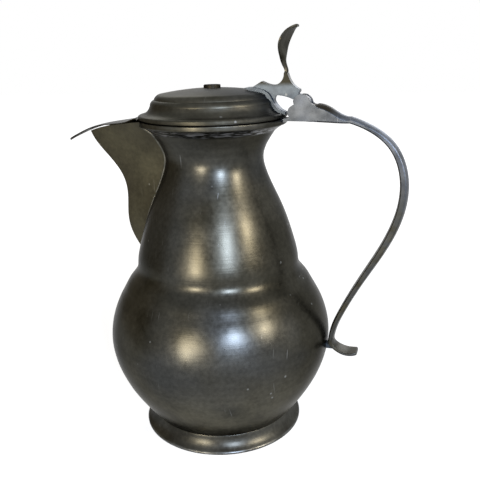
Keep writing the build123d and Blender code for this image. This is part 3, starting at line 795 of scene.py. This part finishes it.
# %% Turn the foot
# Radius and height in millimetres: up the inside, over the top, down the flare and round the lip.
FOOT_FLARE = [
    (46.2, 0.0), (44.4, 2.0), (42.6, 4.0), (42.5, 7.0), (43.4, 9.9), (44.4, 10.15), (44.7, 9.6),
    (45.0, 8.0), (45.52, 6.4), (46.3, 4.8), (47.4, 3.2), (48.55, 2.0), (49.25, 1.4), (49.42, 0.95),
    (49.38, 0.4), (49.0, 0.0),
]
foot_profile = smooth_run([(r * MM, z * MM) for r, z in FOOT_FLARE])
turned_foot = run_tree(
    shell_tree, "turned_foot", [(r, 0.0, z) for r, z in foot_profile], [],
    {**SHELL_SIZES, "Dent Depth": 0.0, "Metal": foot_pewter}, "jug_body")
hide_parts("foot_ring")

# %% [markdown]
# ## The solder of the spout's seams
# The spout was bent from sheet and soldered on to the neck. The iron leaves a low bead along both seams,
# a little paler than the metal. It could be a curve with a bevel, but its thickness would be even.
# A bead follows a path, so one Geometry Nodes tree makes it: the path gets evenly spaced points, a
# radius that wanders a little, and a round section swept along it.

# %% The bead tree
WANDER_MM = 3.0
ROUND_SIDES = 10


def bead_tree():
    """Geometry Nodes: a round bead of uneven thickness along a chain of edges."""
    tree, given = new_tree("solder_bead", {
        "Path": SHAPE, "Radius": FLOAT, "Spacing": FLOAT, "Unevenness": FLOAT, "Seed": FLOAT,
        "Metal": METAL}, "Bead")
    line = add_node(tree, "GeometryNodeMeshToCurve", links={"Mesh": given["Path"]}).outputs[0]
    even = add_node(tree, "GeometryNodeResampleCurve", {"mode": "LENGTH"},
                    links={"Curve": line, "Length": given["Spacing"]}).outputs[0]
    wander = add_node(tree, "ShaderNodeTexNoise", {"noise_dimensions": "4D"},
                      {"Scale": 1 / (WANDER_MM * MM), "Detail": 1.0}, {"W": given["Seed"]}).outputs[0]
    centred = add_node(tree, "ShaderNodeMath", MINUS, {1: 0.5}, {0: wander}).outputs[0]
    swing = add_node(tree, "ShaderNodeMath", {"operation": "MULTIPLY_ADD"}, {2: 1.0},
                     {0: centred, 1: given["Unevenness"]}).outputs[0]
    size = add_node(tree, "ShaderNodeMath", TIMES, links={0: swing, 1: given["Radius"]}).outputs[0]
    section = add_node(tree, "GeometryNodeCurvePrimitiveCircle",
                       values={"Resolution": ROUND_SIDES, "Radius": 1.0}).outputs[0]
    tube = add_node(tree, "GeometryNodeCurveToMesh", values={"Fill Caps": True},
                    links={"Curve": even, "Profile Curve": section, "Scale": size}).outputs[0]
    end_tree(tree, tube, given["Metal"], "Bead")
    return tree


bead = bead_tree()
print("nodes in the bead tree:", len(bead.nodes))

# %% [markdown]
# ## Where the seams run
# The bead's path could be drawn by eye, and would then float off the metal somewhere. So it is
# measured: it's where the spout's outer wall meets the outside of the neck. The neck's radius at
# a height comes from its outline, and the spout's outermost point on that radius is the seam.

# %% Measure the seams
SEAM_STEP, SEAM_MISS = 2.0 * MM, 0.12 * MM
neck_outline = profile_of("neck")


def neck_radius(height):
    """The neck's outer radius at a height, read between the points of its outline."""
    outer = 0.0
    for (r_a, z_a), (r_b, z_b) in zip(neck_outline, neck_outline[1:] + neck_outline[:1]):
        if min(z_a, z_b) <= height <= max(z_a, z_b) and z_a != z_b:
            outer = max(outer, r_a + (r_b - r_a) * (height - z_a) / (z_b - z_a))
    return outer


def seam_points():
    """The outermost point of the spout on the neck's surface, for steps of height from keel to band."""
    spots = [v.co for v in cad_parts["spout"].data.vertices]
    on_neck = [v for v in spots if abs(math.hypot(v.x, v.y) - neck_radius(v.z)) < SEAM_MISS]
    low = min(v.z for v in on_neck)
    levels = {}
    for v in on_neck:
        level = int((v.z - low) / SEAM_STEP)
        if level not in levels or abs(v.y) > abs(levels[level].y):
            levels[level] = v
    return [Vector((v.x, abs(v.y), v.z)) for _, v in sorted(levels.items())]


seam_line = seam_points()
print("seam heights in mm:", [round(v.z / MM, 1) for v in seam_line])
print("widths in mm:", [round(v.y / MM, 1) for v in seam_line])

# %% [markdown]
# ## Laying the beads
# The two seams mirror each other. The first bead could be copied and flipped, but then both would wander
# alike, and a flip turns a mesh inside out. So the tree runs twice, with its own path and seed.

# %% Lay the beads
BEAD_SIZES = {"Radius": 0.85 * MM, "Spacing": 0.8 * MM, "Unevenness": 0.5}
for side_name, side in (("near", -1.0), ("far", 1.0)):
    path = [(v.x, v.y * side, v.z) for v in seam_line]
    seam = run_tree(bead, "seam_solder_" + side_name, path, [(i, i + 1) for i in range(len(path) - 1)],
                    {**BEAD_SIZES, "Seed": 2.0 + side, "Metal": solder}, "jug_body")

# %% [markdown]
# ## The studio
# The jug stands on a pale floor in front of a white background. A big white room would light it from
# all sides and drown its dark skin. So the world is white only to the camera and to reflections, and
# gives the rest of the scene a weak fill. The floor glows in the same way, and fades to white far from
# the jug, so it meets the background without a line and still keeps the jug's shadow.


# %% The world
def seen_directly(tree):
    """1 for rays from the camera, a reflection or glass, and 0 for the rest."""
    path = add_node(tree, "ShaderNodeLightPath").outputs
    first = add_node(tree, "ShaderNodeMath", LARGER,
                     links={0: path["Is Camera Ray"], 1: path["Is Glossy Ray"]}).outputs[0]
    return add_node(tree, "ShaderNodeMath", LARGER,
                    links={0: first, 1: path["Is Transmission Ray"]}).outputs[0]


FILL = 0.35
world = bpy.data.worlds.new("white_room")
bpy.context.scene.world = world
world_tree = empty_tree(world)
world_strength = add_node(world_tree, "ShaderNodeMapRange", values={"To Min": FILL, "To Max": 1.0},
                          links={"Value": seen_directly(world_tree)}).outputs["Result"]
white_sky = add_node(world_tree, "ShaderNodeBackground", values={"Color": (1, 1, 1, 1)},
                     links={"Strength": world_strength})
add_node(world_tree, "ShaderNodeOutputWorld", links={"Surface": white_sky.outputs[0]})
print("the world fills with", FILL, "of white")

# %% The floor
FLOOR_SIZE, FLOOR_GREY = 6.0, 0.3
FLOOR_GLOW, FLOOR_FADE = (0.78, 1.0), (0.2, 0.9)
floor_material = bpy.data.materials.new("pale_floor")
floor_tree = empty_tree(floor_material)
floor_matte = add_node(floor_tree, "ShaderNodeBsdfDiffuse",
                       values={"Color": (FLOOR_GREY, FLOOR_GREY, FLOOR_GREY, 1)})
floor_place = add_node(floor_tree, "ShaderNodeTexCoord").outputs["Object"]
floor_reach = add_node(floor_tree, "ShaderNodeVectorMath", {"operation": "LENGTH"},
                       links={0: floor_place})
floor_level = add_node(floor_tree, "ShaderNodeMapRange",
                       values={"From Min": FLOOR_FADE[0], "From Max": FLOOR_FADE[1],
                               "To Min": FLOOR_GLOW[0], "To Max": FLOOR_GLOW[1]},
                       links={"Value": floor_reach.outputs["Value"]}).outputs["Result"]
floor_strength = add_node(floor_tree, "ShaderNodeMath", TIMES,
                          links={0: seen_directly(floor_tree), 1: floor_level}).outputs[0]
floor_glow = add_node(floor_tree, "ShaderNodeEmission", links={"Strength": floor_strength})
floor_mix = add_node(floor_tree, "ShaderNodeAddShader",
                     links={0: floor_matte.outputs[0], 1: floor_glow.outputs[0]})
add_node(floor_tree, "ShaderNodeOutputMaterial", links={"Surface": floor_mix.outputs[0]})


def flat_piece(name, corners, material):
    """One four-cornered face with a material, put in the scene."""
    mesh = bpy.data.meshes.new(name)
    mesh.from_pydata(corners, [], [(0, 1, 2, 3)])
    mesh.materials.append(material)
    piece = bpy.data.objects.new(name, mesh)
    bpy.context.scene.collection.objects.link(piece)
    return piece


half = FLOOR_SIZE / 2
floor = flat_piece("floor", [(-half, -half, 0), (half, -half, 0), (half, half, 0), (-half, half, 0)],
                   floor_material)
print("floor:", FLOOR_SIZE, "m wide")

# %% [markdown]
# ## The lamps
# Curved dark metal shows hardly any colour of its own. What the eye reads as its shape are the lights
# mirrored in it, so each lamp is placed by the light that it makes. A warm one stands low on the left,
# a cool one in the middle and a warm one on the right. One big lamp would make one wide glare; small
# ones keep the lights narrow. Two large soft ones behind the jug keep its back from going black.

# %% Hang the lamps
JUG_MIDDLE = Vector((0.0, 0.0, 0.13))
# Azimuth and elevation in degrees, distance, width and height in metres, radiance, and colour.
LAMPS = {
    "warm_left": (-102, 6, 1.2, 0.12, 0.12, 205, "ffefd4"),
    "cool_middle": (-57, 18, 1.2, 0.12, 0.12, 345, "d4e4ff"),
    "warm_right": (-22, 21, 1.2, 0.12, 0.12, 200, "fff0d8"),
    "soft_back": (125, 38, 1.5, 0.6, 0.6, 5, "ffffff"),
    "soft_right_back": (76, 22, 1.4, 0.7, 0.6, 4, "f8faff"),
}


def lamp(name, azimuth, elevation, distance, width, height, radiance, colour):
    """An area lamp seen from the jug at an azimuth and elevation, aimed at its middle."""
    data = bpy.data.lights.new(name, "AREA")
    data.shape = "RECTANGLE"
    data.size, data.size_y = width, height
    data.color = linear(colour)[:3]
    data.energy = radiance * math.pi * width * height
    turn, rise = math.radians(azimuth), math.radians(elevation)
    way = Vector((math.cos(turn) * math.cos(rise), math.sin(turn) * math.cos(rise), math.sin(rise)))
    light = bpy.data.objects.new(name, data)
    light.location = JUG_MIDDLE + way * distance
    light.rotation_euler = way.to_track_quat("Z", "Y").to_euler()
    light.visible_camera = False
    bpy.context.scene.collection.objects.link(light)


for lamp_name, lamp_place in LAMPS.items():
    lamp(lamp_name, *lamp_place)

# %% [markdown]
# ## The dark card
# In a white room a metal body mirrors white on both sides, and loses its edge on a white background.
# A darker room would turn the background grey as well. So a dark card stands on the left, as in a real
# studio, and the metal mirrors that. It has its own weak, warm light, so that it looks the same from
# all sides, and the camera doesn't see it.

# %% Stand the card
CARD_AZIMUTH, CARD_DISTANCE, CARD_WIDTH, CARD_HEIGHT = 178, 0.7, 0.9, 0.6
CARD_LIGHT = 0.52
card_material = bpy.data.materials.new("dark_card")
card_tree = empty_tree(card_material)
card_skin = add_node(card_tree, "ShaderNodeEmission",
                     values={"Color": linear("fff0d4"), "Strength": CARD_LIGHT})
add_node(card_tree, "ShaderNodeOutputMaterial", links={"Surface": card_skin.outputs[0]})
card_way = math.radians(CARD_AZIMUTH)
card_middle = Vector((math.cos(card_way), math.sin(card_way), 0.0)) * CARD_DISTANCE
card_along = Vector((-math.sin(card_way), math.cos(card_way), 0.0)) * (CARD_WIDTH / 2)
card_rise = Vector((0, 0, CARD_HEIGHT))
card = flat_piece("dark_card", [card_middle - card_along, card_middle + card_along,
                                card_middle + card_along + card_rise,
                                card_middle - card_along + card_rise], card_material)
card.visible_camera = False
print("dark card on the left, seen only in the metal")

# %% [markdown]
# ## The camera
# It stands a little above the lid and looks down at the jug, turned to the left. It could be moved
# by eye until the picture looks right, but then its place and its lens hide each other's errors.
# So its place is a real distance in metres, found by fitting the ellipses of the foot and the lid.

# %% Set up the camera
CAMERA_PLACE = Vector((0.12313, -0.33829, 0.22564))
CAMERA_TURN, CAMERA_DIP, CAMERA_ROLL = 107.86, 16.91, -1.52
LENS_MM, SENSOR_MM = 46.5, 36.0
turn, dip, roll = (math.radians(a) for a in (CAMERA_TURN, CAMERA_DIP, CAMERA_ROLL))
ahead = Vector((math.cos(turn) * math.cos(dip), math.sin(turn) * math.cos(dip), -math.sin(dip)))
right = Vector((math.sin(turn), -math.cos(turn), 0.0))
above = right.cross(ahead)
right_rolled = right * math.cos(roll) + above * math.sin(roll)
above_rolled = above * math.cos(roll) - right * math.sin(roll)
camera_data = bpy.data.cameras.new("camera")
camera_data.lens, camera_data.sensor_width = LENS_MM, SENSOR_MM
camera = bpy.data.objects.new("camera", camera_data)
camera.matrix_world = Matrix((
    (right_rolled.x, above_rolled.x, -ahead.x, CAMERA_PLACE.x),
    (right_rolled.y, above_rolled.y, -ahead.y, CAMERA_PLACE.y),
    (right_rolled.z, above_rolled.z, -ahead.z, CAMERA_PLACE.z),
    (0.0, 0.0, 0.0, 1.0),
))
bpy.context.scene.collection.objects.link(camera)
bpy.context.scene.camera = camera
bpy.context.scene.view_settings.view_transform = "Standard"
print("camera at", tuple(round(c, 3) for c in camera.location))
